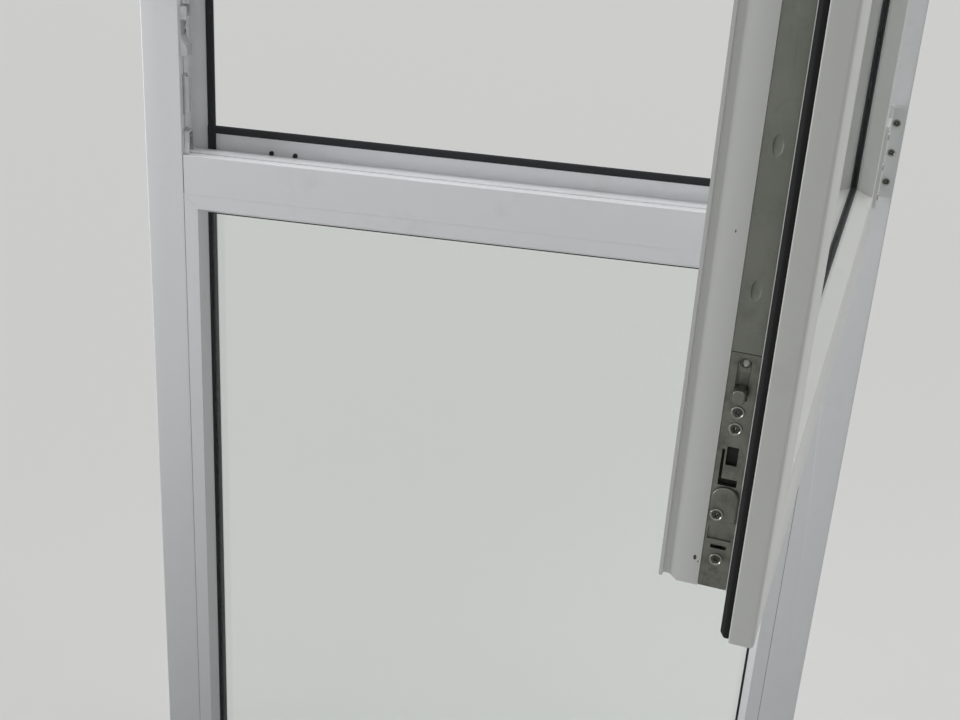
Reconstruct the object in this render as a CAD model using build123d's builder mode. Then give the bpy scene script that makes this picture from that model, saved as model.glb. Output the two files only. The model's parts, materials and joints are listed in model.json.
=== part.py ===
from build123d import *
import os
from math import acos, cos, pi, radians, sin, tan

os.makedirs("parts", exist_ok=True)

# A tall house window in white uPVC. A welded outer frame holds a transom. Above the transom a
# side-hung sash opens into the room on its right-hand hinges, and below it the glass is fixed.
# All sizes are millimetres. The room is towards -Y. The origin is on the frame's bottom face,
# in the middle of its width and depth. Profile sections are written as (u, v) points: u runs
# into the light and v runs away from the room.

# The two lights, measured between the room-side edges of the rebate floors
light_width = 680.0
lower_light_height = 790.0
upper_light_height = 1047.0

# The frame and transom profiles
profile_depth = 60.0
frame_face = 40.0
transom_face = 43.0
rebate_depth = 45.0
lip_height = 21.5
lip_land = 1.5
lip_fall = 6.5
land_width = 9.0
floor_fall = 5.0
bead_groove_width = 3.0
bead_groove_depth = 3.5
edge_radius = 1.2
beaded_edge_radius = 0.4
transom_seam = 0.3
anchor_groove_width = 7.0
anchor_groove_depth = 2.5
anchor_groove_inset = 12.0
drain_hole_radius = 2.8
drain_hole_pitch = 26.0
drain_hole_inset = 82.5
drain_hole_rise = 3.2
drain_hole_lead = 2.0
drain_direction = (0, 1, -0.6)
drain_cap_length = 52.0
drain_cap_height = 13.0
drain_cap_depth = 4.5
drain_cap_wall = 1.4
drain_cap_below_edge = 2.0
fixing_hole_radius = 5.0
fixing_hole_spacing = 520.0
first_fixing_heights = (250.0, 1270.0)

# The sash profile
sash_depth = 61.0
flange_thickness = 14.5
flange_reach = 20.0
flange_radius = 2.0
sash_core = 37.0
sash_gap = 12.0
closed_gap = 4.6
hardware_axis = 15.5
recess_width = 16.4
recess_depth = 3.0
channel_width = 12.0
channel_depth = 12.0
drip_depth = 2.2
drip_slope = 4.9
drip_width = 3.2
drip_rise = 0.6
drip_land = 1.9
drip_land_drop = 0.7

# Gaskets, glass and beads
gasket_groove_width = 4.0
gasket_groove_depth = 3.0
gasket_groove_inset = 3.0
gasket_foot_clearance = 0.1
gasket_end_gap = 0.5
gasket_width = 8.5
gasket_shoulder = 0.55
gasket_crown = (0.3, 0.8)
rebate_gasket_height = 2.7
glass_gasket_height = 3.5
flange_gasket_height = 4.3
flange_gasket_width = 7.5
flange_gasket_inset = 1.5
flange_gasket_foot_inset = 3.2
flange_gasket_lip = 0.4
inner_gasket_height = 3.0
inner_gasket_width = 9.5
inner_gasket_rise = 2.5
glass_thickness = 24.0
pane_thickness = 4.0
glass_edge_gap = 6.0
spacer_height = 7.0
seal_height = 3.0
bead_height = 21.5
bead_front = 15.0
bead_back_land = 2.0
bead_foot_clearance = 0.1
bead_seam = 0.08
bead_mitre_reach = 5.0
packer_length = 100.0
packer_inset = 80.0
packer_margin = 1.5

# The hinges, and how far the sash stands open
hinge_axis_beyond_flange = 9.0
hinge_axis_before_face = 14.0
open_angle = 81.0
knuckle_radius = 8.0
hinge_pin_radius = 3.5
running_clearance = 0.05
knuckle_gap = 0.4
sash_knuckle_length = 44.0
frame_knuckle_length = 22.0
hinge_plate_thickness = 3.0
hinge_leaf_width = 34.0
hinge_leaf_height = 78.0
hinge_from_sash_end = 30.0
bracket_inner_gap = 2.0
bracket_width = 26.0
bracket_neck_width = 8.0
bracket_screw_inset = 5.0
leaf_screw_inset = 6.0
hinge_screw_pitch = 29.0
pin_head_radius = 5.2
pin_head_height = 1.5
hinge_cap_height = 6.0
hinge_cap_radius = 1.8

# The lock hardware in the sash's groove. Heights are above the sash's bottom face.
plate_width = 16.0
plate_thickness = 2.6
plate_sink = 0.4
corner_leg = 147.5
plate_joint_gap = 0.4
plate_top_inset = 30.0
clinch_first = 183.0
clinch_pitch = 73.3
clinch_radius = 2.6
clinch_depth = 0.5
clinch_count = 11
rail_width = 11.0
rail_thickness = 2.0
rail_clearance = 0.1
rail_bottom = 96.0
rail_top_inset = 120.0
gear_module = 1.25
gear_teeth = 16
gear_addendum = 0.9
gear_dedendum = 1.25
gear_backlash = 0.3
gear_pressure_angle = 20.0
gear_width = 6.6
gear_journal_radius = 6.2
rack_teeth_below = 7
rack_teeth_above = 3
case_width = 11.6
case_cavity_width = 8.0
case_half_height = 16.0
case_ear_half_height = 34.0
case_end_wall = 3.5
case_clearance = 0.4
spindle_size = 7.0
cam_heights = (124.5, 461.5, 761.5)
cam_size = (6.8, 8.1)
cam_corner = 2.4
cam_reach = 6.6
cam_slot_clearance = 0.3
cam_slot_spare = 1.0
cam_slot_corner = 3.2
coupler_size = (5.6, 9.6)
coupler_height = 130.6
coupler_depth = 4.2

# The corner drive's plate: (low, high) heights above the sash's bottom, (near, far) depths from the flange
drive_window = ((80.0, 91.4), (11.9, 18.2))
drive_slit = ((67.0, 89.5), (19.2, 20.8))
drive_hook_gap = ((67.0, 71.4), (10.4, 20.8))
drive_recess = ((32.0, 40.5), (8.8, 22.2))
drive_low_slot = ((26.3, 28.7), (10.9, 19.7))
corner_screw_heights = (19.4, 102.7, 112.8)
lifter_heights = (45.0, 66.4)
lifter_depths = (7.9, 22.6)
lifter_thickness = 2.0
lifter_corner = 6.6
lifter_edge_radius = 0.8
lifter_screw = (49.2, 18.5)
plate_screw_heights = (300.0, 640.0, 900.0)
screw_shank_radius = 1.9
screw_head_radius = 3.7
screw_head_height = 0.9
screw_length = 24.0
screw_clearance = 0.15

# The handle
lever_length = 122.0
lever_width = 19.0
lever_tip_width = 15.0
lever_thickness = 12.0
lever_radius = 4.0
lever_stand_off = 42.0
neck_radius = 8.5
neck_base_gap = 1.0
rosette_length = 68.0
rosette_width = 29.0
rosette_thickness = 9.0
rosette_corner = 9.0
rosette_edge_radius = 2.5
rosette_screw_pitch = 43.0
rosette_screw_radius = 2.4
rosette_screw_head = 4.4
rosette_screw_head_height = 2.4
rosette_screw_length = 36.0

# The keeps on the left jamb, above the transom's rebate edge
keep_depths = (1.5, 16.0)
keep_base = 1.6
keep_reach = 7.8
keep_wall = 4.0
keep_thin_wall = 1.2
keep_below_cam = 32.4
keep_length = 50.0
keep_end_block = 10.0
keep_slit = 12.0
keep_lead = 1.0
keep_screw_inset = (22.5, 31.0)
keep_screw_depth = 13.1
ramp_screw_inset = 3.4
corner_keep_screw_inset = 5.0
ramp_heights = (42.5, 83.5)
ramp_depths = (5.2, 10.4)
ramp_reach = 7.0
ramp_margin = 1.0
ramp_chamfer = 1.5
corner_keep_heights = (2.0, 26.0)
corner_keep_lump = 9.0
corner_keep_weld = 1.0
jamb_screw_radius = 1.6
jamb_screw_head = 2.6

# Places that follow from the sizes above
room_face = -profile_depth / 2
outer_face = profile_depth / 2
lip_base = room_face + rebate_depth
half_light = light_width / 2
half_frame = half_light + frame_face
half_opening = half_light - lip_height
lower_floor = frame_face
lower_top = lower_floor + lower_light_height
upper_floor = lower_top + transom_face
upper_top = upper_floor + upper_light_height
frame_top = upper_top + frame_face
flange_face = room_face - closed_gap
sash_room_face = flange_face - flange_thickness
half_sash = half_light - sash_gap
sash_bottom = upper_floor + sash_gap
sash_top = upper_top - sash_gap
glass_near = rebate_depth - glass_gasket_height - glass_thickness
bead_depth = glass_near - inner_gasket_height
hinge_x = half_sash + flange_reach + hinge_axis_beyond_flange
hinge_y = room_face - hinge_axis_before_face
hinge_half_height = sash_knuckle_length / 2 + knuckle_gap + frame_knuckle_length
hinge_heights = (
    sash_bottom + hinge_from_sash_end + hinge_leaf_height / 2,
    sash_top - hinge_from_sash_end - hinge_leaf_height / 2,
)
hinge_axis = Axis((hinge_x, hinge_y, 0), (0, 0, 1))
groove_y = flange_face + hardware_axis
edge_x = -half_sash
rail_x = edge_x + recess_depth + rail_clearance
rail_back_x = rail_x + rail_thickness
pitch_x = rail_back_x + gear_dedendum * gear_module
pitch_radius = gear_module * gear_teeth / 2
tooth_pitch = pi * gear_module
rail_travel = pitch_radius * pi / 2
handle_x = pitch_x + pitch_radius
handle_z = (sash_bottom + sash_top) / 2
rosette_face = sash_room_face - rosette_thickness
lever_y = sash_room_face - lever_stand_off
rack_slot_depth = (gear_dedendum + gear_addendum) * gear_module + case_clearance
gear_tip_radius = pitch_radius + gear_addendum * gear_module
case_front_x = rail_back_x + rail_clearance
case_back_x = handle_x + gear_tip_radius + case_clearance + case_end_wall
case_y = (groove_y - case_width / 2, groove_y + case_width / 2)
cavity_y = (groove_y - case_cavity_width / 2, groove_y + case_cavity_width / 2)
spindle_hole_radius = gear_journal_radius + 1
socket_half = spindle_size / 2 + running_clearance
plate_y = (groove_y - plate_width / 2, groove_y + plate_width / 2)
plate_low_end_z = sash_bottom + corner_leg
plate_joint_z = plate_low_end_z + plate_joint_gap
plate_top_z = sash_top - plate_top_inset
plate_screw_z = [sash_bottom + h for h in plate_screw_heights]
corner_screw_z = [sash_bottom + h for h in corner_screw_heights]
lifter_screw_z = sash_bottom + lifter_screw[0]
lifter_screw_y = flange_face + lifter_screw[1]
clinch_z = [sash_bottom + clinch_first + i * clinch_pitch for i in range(clinch_count)]
rail_low_z = sash_bottom + rail_bottom
rail_high_z = sash_top - rail_top_inset
rail_slot_z = [z for z in plate_screw_z + corner_screw_z if z > rail_low_z]
coupler_z = sash_bottom + coupler_height
keep_y = (room_face + keep_depths[0], room_face + keep_depths[1])
keep_top_x = -half_light + keep_base
keep_x = -half_light + keep_reach
ramp_x = -half_light + ramp_reach
keep_screw_y = room_face + keep_screw_depth
bracket_x = half_sash + flange_reach + bracket_inner_gap
bracket_screw_x = bracket_x + bracket_width - bracket_screw_inset
leaf_x = half_sash + flange_reach - hinge_leaf_width
leaf_y = (sash_room_face - hinge_plate_thickness, sash_room_face)
leaf_screw_x = leaf_x + leaf_screw_inset
ramp_screws = [(keep_screw_y, upper_floor + h) for h in (ramp_heights[0] + ramp_screw_inset,
                                                         ramp_heights[1] - ramp_screw_inset)]
corner_screws = [(sum(keep_y) / 2, upper_floor + corner_keep_heights[0] + corner_keep_screw_inset)]
jamb_screws = ramp_screws + corner_screws + [
    (keep_screw_y, sash_bottom + height - keep_below_cam + inset)
    for height in cam_heights
    for inset in keep_screw_inset
]


def rebate_side(face, room, depth):
    """The light side of a profile, from the rebate floor over the bead groove to the lip's outer edge."""
    lip = room + rebate_depth
    land_end = room + land_width
    top = face + lip_height
    groove_high = top - gasket_groove_inset
    groove_low = groove_high - gasket_groove_width
    return [
        (face, room),
        (face, land_end),
        (face - bead_groove_depth, land_end),
        (face - bead_groove_depth, land_end + bead_groove_width),
        (face, land_end + bead_groove_width),
        (face - floor_fall, lip),
        (groove_low, lip),
        (groove_low, lip + gasket_groove_depth),
        (groove_high, lip + gasket_groove_depth),
        (groove_high, lip),
        (top, lip),
        (top, lip + lip_land),
        (top - lip_fall, room + depth),
    ]


def light_void():
    """What a light's rebate takes out of the frame."""
    beyond = lip_height + lip_land
    outside = [(lip_height - lip_fall, profile_depth + 1), (beyond, profile_depth + 1)]
    return rebate_side(0, 0, profile_depth) + outside + [(beyond, -1), (0, -1)]


def lip_outline():
    """A jamb's lip in section, behind the transom's end."""
    return [
        (-1, rebate_depth),
        (lip_height, rebate_depth),
        (lip_height, rebate_depth + lip_land),
        (lip_height - lip_fall, profile_depth),
        (-1, profile_depth),
    ]


def anchor_groove(near):
    """One of the two grooves round the frame's back that hold wall anchors."""
    far = near + anchor_groove_width
    return [(-1, near), (anchor_groove_depth, near), (anchor_groove_depth, far), (-1, far)]


def sash_profile():
    """The sash's profile. u starts at the face that holds the hardware and v at the flange's inner face."""
    recess = (hardware_axis - recess_width / 2, hardware_axis + recess_width / 2)
    channel = (hardware_axis - channel_width / 2, hardware_axis + channel_width / 2)
    outside = sash_depth - flange_thickness
    land = outside - drip_land
    drip = land - drip_rise - drip_width
    gasket_low = flange_gasket_foot_inset - flange_reach
    edge = [
        (-flange_reach, -flange_thickness),
        (-flange_reach, 0),
        (gasket_low, 0),
        (gasket_low, -gasket_groove_depth),
        (gasket_low + gasket_groove_width, -gasket_groove_depth),
        (gasket_low + gasket_groove_width, 0),
        (0, 0),
        (0, recess[0]),
        (recess_depth, recess[0]),
        (recess_depth, channel[0]),
        (channel_depth, channel[0]),
        (channel_depth, channel[1]),
        (recess_depth, channel[1]),
        (recess_depth, recess[1]),
        (0, recess[1]),
        (0, drip - drip_slope),
        (drip_depth, drip),
        (drip_depth, land - drip_rise),
        (drip_land_drop, land),
        (drip_land_drop, outside),
    ]
    return edge + list(reversed(rebate_side(sash_core, -flange_thickness, sash_depth)))


def lip_gasket_profile(face, room, height):
    """The gasket on a lip: a foot in the lip's groove and a rounded sealing part."""
    seat = room + rebate_depth
    high = face + lip_height
    low = high - gasket_width
    foot_high = high - gasket_groove_inset - gasket_foot_clearance
    foot_low = foot_high - gasket_groove_width + 2 * gasket_foot_clearance
    foot_end = seat + gasket_groove_depth - gasket_foot_clearance
    return [
        (high, seat),
        (foot_high, seat),
        (foot_high, foot_end),
        (foot_low, foot_end),
        (foot_low, seat),
        (low, seat),
        (low, seat - gasket_shoulder * height),
        (low + gasket_crown[0] * gasket_width, seat - height),
        (low + gasket_crown[1] * gasket_width, seat - height),
        (high, seat - gasket_shoulder * height),
    ]


def flange_gasket_profile():
    """The gasket on the sash's flange, drawn as high as it is when the sash is pressed shut."""
    low = flange_gasket_inset - flange_reach
    high = low + flange_gasket_width
    foot_low = flange_gasket_foot_inset - flange_reach + gasket_foot_clearance
    foot_high = foot_low + gasket_groove_width - 2 * gasket_foot_clearance
    foot_end = gasket_foot_clearance - gasket_groove_depth
    return [
        (low, 0),
        (foot_low, 0),
        (foot_low, foot_end),
        (foot_high, foot_end),
        (foot_high, 0),
        (high, 0),
        (high, flange_gasket_lip * flange_gasket_height),
        (high - gasket_crown[0] * flange_gasket_width, flange_gasket_height),
        (low + gasket_crown[0] * flange_gasket_width, flange_gasket_height),
        (low, gasket_shoulder * flange_gasket_height),
    ]


def inner_gasket_profile(face, room):
    """The strip between the bead and the glass."""
    near = room + bead_depth
    top = face + bead_height + inner_gasket_rise
    low = top - inner_gasket_width
    slope_start = inner_gasket_height / 3
    return [
        (low, near),
        (face + bead_height, near),
        (top, near + slope_start),
        (top, near + inner_gasket_height),
        (low, near + inner_gasket_height),
    ]


def bead_profile(face, room):
    """A glazing bead on the rebate floor, with its foot in the bead groove."""
    back = room + bead_depth
    foot_near = room + land_width + bead_foot_clearance
    foot_far = foot_near + bead_groove_width - 2 * bead_foot_clearance
    foot_low = face - bead_groove_depth + bead_foot_clearance
    return [
        (face, room),
        (face + bead_front, room),
        (face + bead_height, back - bead_back_land),
        (face + bead_height, back),
        (face, back),
        (face, foot_far),
        (foot_low, foot_far),
        (foot_low, foot_near),
        (face, foot_near),
    ]


def packer_profile(face, room):
    """A glazing packer: level under the glass and sloped like the rebate floor."""
    near = room + glass_near + packer_margin
    far = room + glass_near + glass_thickness - packer_margin
    slope_start = room + land_width + bead_groove_width
    fall = floor_fall / (room + rebate_depth - slope_start)
    level = face + glass_edge_gap
    return [
        (level, near),
        (level, far),
        (face - (far - slope_start) * fall, far),
        (face - (near - slope_start) * fall, near),
    ]


def ring(half_width, low, high, y, points, rounded=(), mode=Mode.ADD):
    """Sweeps a section round a rectangle, with mitred corners. rounded holds (point, radius) pairs."""
    with BuildLine() as path:
        Polyline((0, y, low), (-half_width, y, low), (-half_width, y, high), (half_width, y, high),
                 (half_width, y, low), close=True)
    with BuildSketch(Plane(origin=(0, y, low), x_dir=(0, 0, 1), z_dir=(-1, 0, 0))) as section:
        with BuildLine():
            Polyline(*points, close=True)
        make_face()
        for point, radius in rounded:
            fillet(section.vertices().sort_by_distance((*point, 0))[0], radius)
    sweep(section.sketch, path=path.wire(), transition=Transition.RIGHT, mode=mode)


def block(x, y, z, mode=Mode.ADD):
    """A box between two values on each axis."""
    with Locations(((x[0] + x[1]) / 2, (y[0] + y[1]) / 2, (z[0] + z[1]) / 2)):
        Box(abs(x[1] - x[0]), abs(y[1] - y[0]), abs(z[1] - z[0]), mode=mode)


def rod(start, direction, radius, length, mode=Mode.ADD):
    """A round bar from a point along a direction."""
    with BuildSketch(Plane(origin=start, z_dir=direction)) as end:
        Circle(radius)
    extrude(end.sketch, amount=length, mode=mode)


def mitred_side(side, half_width, low, high):
    """Cuts a ring of beads down to one side, with its ends on the corner diagonals."""
    out = bead_mitre_reach
    near = half_width + out - bead_seam
    far = half_width - 6 * out - bead_seam
    wide = half_width + out
    narrow = half_width - 6 * out
    outlines = {
        "bottom": [(-near, low - out), (near, low - out), (far, low + 6 * out), (-far, low + 6 * out)],
        "top": [(-near, high + out), (near, high + out), (far, high - 6 * out), (-far, high - 6 * out)],
        "left": [(-wide, low - out + bead_seam), (-wide, high + out - bead_seam),
                 (-narrow, high - 6 * out - bead_seam), (-narrow, low + 6 * out + bead_seam)],
        "right": [(wide, low - out + bead_seam), (wide, high + out - bead_seam),
                  (narrow, high - 6 * out - bead_seam), (narrow, low + 6 * out + bead_seam)],
    }
    with BuildSketch(Plane.XZ) as outline:
        with BuildLine():
            Polyline(*outlines[side], close=True)
        make_face()
    extrude(outline.sketch, amount=profile_depth * 2, both=True, mode=Mode.INTERSECT)


def bead(side, half_width, low, high, y, face, room):
    """One glazing bead."""
    ring(half_width, low, high, y, bead_profile(face, room))
    mitred_side(side, half_width - face, low + face, high - face)


def pane(half_width, low, high, near):
    """One pane of glass, from its near face."""
    block((-half_width, half_width), (near, near + pane_thickness), (low, high))


def packers(half_width, low, high, y, face, room):
    """The packers round a light: two under the glass and one low and one high at each side."""
    ring(half_width, low, high, y, packer_profile(face, room))
    inner = half_width - face
    with Locations(*[
        (side * x, y, z)
        for side in (-1, 1)
        for x, z in (
            (inner - packer_inset - packer_length / 2, low + face),
            (inner, low + face + packer_inset + packer_length / 2),
            (inner, high - face - packer_inset - packer_length / 2),
        )
    ]):
        Box(packer_length, 4 * profile_depth, packer_length, mode=Mode.INTERSECT)


def x_screw(x, y, z, direction, shank, head):
    """A round-headed screw whose head sits on the face at x and whose shank runs the other way."""
    rod((x, y, z), (direction, 0, 0), head, screw_head_height)
    rod((x, y, z), (-direction, 0, 0), shank, screw_length)


def y_screw(x, y, z):
    """A round-headed screw driven away from the room, with its head on the face at y."""
    rod((x, y, z), (0, -1, 0), screw_head_radius, screw_head_height)
    rod((x, y, z), (0, 1, 0), screw_shank_radius, screw_length)


def write(name, part):
    """Labels a sub-part and writes its file."""
    part.label = name
    export_step(part, f"parts/{name}.step")


def swung_open(part):
    """Turns a piece of the sash from its closed place to where the sash stands open."""
    return part.rotate(hinge_axis, open_angle)


def spacer_profile(face, room):
    """The spacer bar between the panes, just inside the edge seal."""
    low = face + glass_edge_gap + seal_height
    near = room + glass_near + pane_thickness
    far = room + glass_near + glass_thickness - pane_thickness
    return [(low, near), (low + spacer_height, near), (low + spacer_height, far), (low, far)]


def seal_profile(face, room):
    """The seal round the edge between the panes."""
    low = face + glass_edge_gap
    near = room + glass_near + pane_thickness
    far = room + glass_near + glass_thickness - pane_thickness
    return [(low, near), (low + seal_height, near), (low + seal_height, far), (low, far)]


def keep(low):
    """A lock keep: a base, an end block with a slope, and a slit with a hook wall that holds the cam."""
    high = low + keep_length
    slit = high - keep_slit
    block((-half_light, keep_top_x), keep_y, (low, high))
    block((keep_top_x, keep_x), keep_y, (low, low + keep_end_block))
    block((keep_top_x, keep_x), (keep_y[0], keep_y[0] + keep_wall), (slit, high))
    block((keep_top_x, keep_x), (keep_y[1] - keep_thin_wall, keep_y[1]), (slit, high))
    with BuildSketch(Plane(origin=(0, keep_y[0], 0), x_dir=(1, 0, 0), z_dir=(0, -1, 0))) as slope:
        with BuildLine():
            Polyline(
                (keep_top_x, low + keep_end_block),
                (keep_x - keep_base, low + keep_end_block),
                (keep_top_x, low + 2 * keep_end_block),
                close=True,
            )
        make_face()
    extrude(slope.sketch, amount=keep_y[0] - keep_y[1])
    with BuildSketch(Plane(origin=(keep_top_x, 0, 0), x_dir=(0, 1, 0), z_dir=(1, 0, 0))) as lead:
        with BuildLine():
            Polyline(
                (keep_y[0], slit),
                (keep_y[0] + keep_wall, slit),
                (keep_y[0], slit - keep_lead),
                close=True,
            )
        make_face()
    extrude(lead.sketch, amount=keep_x - keep_top_x)
    for inset in keep_screw_inset:
        rod((keep_x, keep_screw_y, low + inset), (-1, 0, 0), jamb_screw_radius, keep_reach, Mode.SUBTRACT)


def cam_slot(z):
    """The slot in a plate that a lock cam slides in, from its open place upwards, with a rounded top."""
    low = z - cam_size[1] / 2 - cam_slot_clearance
    high = z + cam_size[1] / 2 + rail_travel + cam_slot_spare
    half = cam_size[0] / 2 + cam_slot_clearance
    with BuildSketch(Plane.YZ.offset(edge_x)) as slot:
        with BuildLine():
            Polyline((groove_y - half, low), (groove_y + half, low), (groove_y + half, high),
                     (groove_y - half, high), close=True)
        make_face()
        fillet(slot.vertices().group_by(Axis.Y)[-1], cam_slot_corner)
    extrude(slot.sketch, amount=recess_depth, mode=Mode.SUBTRACT)


def rack_tooth(z):
    """One rack tooth on the rail's back, as (x, z) points on the plane through the groove's middle."""
    slope = tan(radians(gear_pressure_angle))
    half_pitch_width = tooth_pitch / 4 - gear_backlash / 4
    root = half_pitch_width + gear_dedendum * gear_module * slope
    tip = half_pitch_width - gear_addendum * gear_module * slope
    tip_x = pitch_x + gear_addendum * gear_module
    return [(rail_back_x, z - root), (tip_x, z - tip), (tip_x, z + tip), (rail_back_x, z + root)]


def pinion_points():
    """The pinion's outline with involute flanks, a tooth pointing at the rack."""
    base = pitch_radius * cos(radians(gear_pressure_angle))
    root = pitch_radius - gear_dedendum * gear_module
    radii = [base + (gear_tip_radius - base) * i / 4 for i in range(5)]

    def involute(radius):
        angle = acos(base / radius)
        return tan(angle) - angle

    half_width = pi / (2 * gear_teeth) - gear_backlash / (4 * pitch_radius) + involute(pitch_radius)
    points = []
    for tooth in range(gear_teeth):
        middle = pi + 2 * pi * tooth / gear_teeth
        flank = [(root, half_width)] + [(r, half_width - involute(r)) for r in radii]
        points += [(r * cos(middle - a), r * sin(middle - a)) for r, a in flank]
        points += [(r * cos(middle + a), r * sin(middle + a)) for r, a in reversed(flank)]
    return points


# The frame body

with BuildPart() as welded_frame:
    block((-half_frame, half_frame), (room_face, outer_face), (0, frame_top))
    for low, high in ((lower_floor, lower_top), (upper_floor, upper_top)):
        ring(half_light, low, high, room_face, light_void(), mode=Mode.SUBTRACT)
        block((-half_opening, half_opening), (room_face, outer_face),
              (low + lip_height, high - lip_height), Mode.SUBTRACT)
    room_side = welded_frame.faces().sort_by(Axis.Y)[0]
    open_light = room_side.inner_wires().sort_by(Axis.Z)[-1]
    fillet(room_side.outer_wire().edges() + open_light.edges(), edge_radius)
    room_side = welded_frame.faces().sort_by(Axis.Y)[0]
    fillet(room_side.inner_wires().sort_by(Axis.Z)[0].edges(), beaded_edge_radius)
    for near in (anchor_groove_inset, profile_depth - anchor_groove_inset - anchor_groove_width):
        ring(half_frame, 0, frame_top, room_face, anchor_groove(near), mode=Mode.SUBTRACT)
    for floor in (lower_floor, upper_floor):
        for side in (-1, 1):
            for along in (0, drain_hole_pitch):
                x = side * (half_light - drain_hole_inset - along)
                rod((x, lip_base - drain_hole_lead, floor - floor_fall + drain_hole_rise), drain_direction,
                    drain_hole_radius, profile_depth, Mode.SUBTRACT)

# The jambs run through. The transom fits between them and its ends reach over their lips.
with BuildPart() as transom_blank:
    add(welded_frame.part)
    block((-half_light, half_light), (room_face, outer_face),
          (lower_top - lip_height, upper_floor + lip_height), Mode.INTERSECT)
    with BuildSketch(Plane.XY.offset(lower_top - lip_height)) as jamb_lips:
        for side in (-1, 1):
            with BuildLine():
                Polyline(*[(side * (half_light - u), room_face + v) for u, v in lip_outline()], close=True)
            make_face()
    extrude(jamb_lips.sketch, amount=transom_face + 2 * lip_height, mode=Mode.SUBTRACT)

with BuildPart() as transom:
    add(transom_blank.part)
    for side in (-1, 1):
        block((side * (half_light - transom_seam), side * half_light), (room_face, lip_base),
              (lower_top, upper_floor), Mode.SUBTRACT)

with BuildPart() as outer_frame:
    add(welded_frame.part)
    add(transom_blank.part, mode=Mode.SUBTRACT)
    for side in (-1, 1):
        near_x = half_light - lip_height + gasket_groove_inset
        block((side * near_x, side * (near_x + gasket_groove_width)),
              (lip_base, lip_base + gasket_groove_depth),
              (upper_floor - floor_fall, upper_floor + lip_height), Mode.SUBTRACT)
        for first in first_fixing_heights:
            for z in (first, first + fixing_hole_spacing):
                rod((side * (half_light - 2 * lip_height), 0, z), (side, 0, 0),
                    fixing_hole_radius, 2 * profile_depth, Mode.SUBTRACT)
        for middle in hinge_heights:
            for step in (-1, 0, 1):
                rod((bracket_screw_x, room_face, middle + step * hinge_screw_pitch), (0, 1, 0),
                    screw_shank_radius, screw_length - hinge_plate_thickness, Mode.SUBTRACT)
    for y, z in jamb_screws:
        rod((-half_light, y, z), (-1, 0, 0), jamb_screw_radius, screw_length - keep_base, Mode.SUBTRACT)

with BuildPart() as upper_rebate_gasket:
    section = lip_gasket_profile(0, 0, rebate_gasket_height)
    ring(half_light, upper_floor, upper_top, room_face, section)
    for side in (-1, 1):
        near_x = half_light - lip_height + gasket_groove_inset + gasket_foot_clearance
        far_x = near_x + gasket_groove_width - 2 * gasket_foot_clearance
        block((side * near_x, side * far_x),
              (lip_base, lip_base + gasket_groove_depth - gasket_foot_clearance),
              (upper_floor - floor_fall + gasket_end_gap, upper_floor + lip_height - gasket_groove_inset))
        block((side * half_opening, side * (half_opening + gasket_width)),
              (lip_base - rebate_gasket_height, lip_base),
              (upper_floor - floor_fall + gasket_end_gap, upper_floor + lip_height))

with BuildPart() as lower_outer_gasket:
    ring(half_light, lower_floor, lower_top, room_face, lip_gasket_profile(0, 0, glass_gasket_height))

with BuildPart() as lower_glass_outer:
    pane(half_light - glass_edge_gap, lower_floor + glass_edge_gap, lower_top - glass_edge_gap,
         room_face + glass_near + glass_thickness - pane_thickness)

with BuildPart() as lower_glass_inner:
    pane(half_light - glass_edge_gap, lower_floor + glass_edge_gap, lower_top - glass_edge_gap,
         room_face + glass_near)

with BuildPart() as lower_glass_spacer:
    ring(half_light, lower_floor, lower_top, room_face, spacer_profile(0, 0))

with BuildPart() as lower_glass_seal:
    ring(half_light, lower_floor, lower_top, room_face, seal_profile(0, 0))

with BuildPart() as lower_inner_gasket:
    ring(half_light, lower_floor, lower_top, room_face, inner_gasket_profile(0, 0))

with BuildPart() as lower_bead_bottom:
    bead("bottom", half_light, lower_floor, lower_top, room_face, 0, 0)

with BuildPart() as lower_bead_top:
    bead("top", half_light, lower_floor, lower_top, room_face, 0, 0)

with BuildPart() as lower_bead_left:
    bead("left", half_light, lower_floor, lower_top, room_face, 0, 0)

with BuildPart() as lower_bead_right:
    bead("right", half_light, lower_floor, lower_top, room_face, 0, 0)

with BuildPart() as lower_glazing_packers:
    packers(half_light, lower_floor, lower_top, room_face, 0, 0)

with BuildPart() as drain_caps:
    for floor in (lower_floor, upper_floor):
        for side in (-1, 1):
            x = side * (half_light - drain_hole_inset - drain_hole_pitch / 2)
            top = floor - drain_cap_below_edge
            with Locations((x, outer_face + drain_cap_depth / 2, top - drain_cap_height / 2)):
                Box(drain_cap_length, drain_cap_depth, drain_cap_height)
    fillet(drain_caps.faces().sort_by(Axis.Y)[-4:].edges().filter_by(Axis.Z), drain_cap_depth / 2)
    for floor in (lower_floor, upper_floor):
        for side in (-1, 1):
            x = side * (half_light - drain_hole_inset - drain_hole_pitch / 2)
            top = floor - drain_cap_below_edge
            block((x - drain_cap_length / 2 + drain_cap_wall, x + drain_cap_length / 2 - drain_cap_wall),
                  (outer_face, outer_face + drain_cap_depth - drain_cap_wall),
                  (top - drain_cap_height, top - drain_cap_wall), Mode.SUBTRACT)

with BuildPart() as lock_keeps:
    for height in cam_heights:
        keep(sash_bottom + height - keep_below_cam)

with BuildPart() as lifter_ramp:
    low, high = (upper_floor + h for h in ramp_heights)
    block((-half_light, keep_top_x), keep_y, (low, high))
    bar_plane = Plane(origin=(0, room_face + ramp_depths[0], 0), x_dir=(1, 0, 0), z_dir=(0, -1, 0))
    with BuildSketch(bar_plane) as bar:
        with BuildLine():
            Polyline(
                (keep_top_x, low + ramp_margin),
                (ramp_x, low + ramp_margin + ramp_chamfer),
                (ramp_x, high - ramp_margin - ramp_chamfer),
                (keep_top_x, high - ramp_margin),
                close=True,
            )
        make_face()
    extrude(bar.sketch, amount=ramp_depths[0] - ramp_depths[1])
    for y, z in ramp_screws:
        rod((keep_top_x, y, z), (-1, 0, 0), jamb_screw_radius, keep_base, Mode.SUBTRACT)

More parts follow.
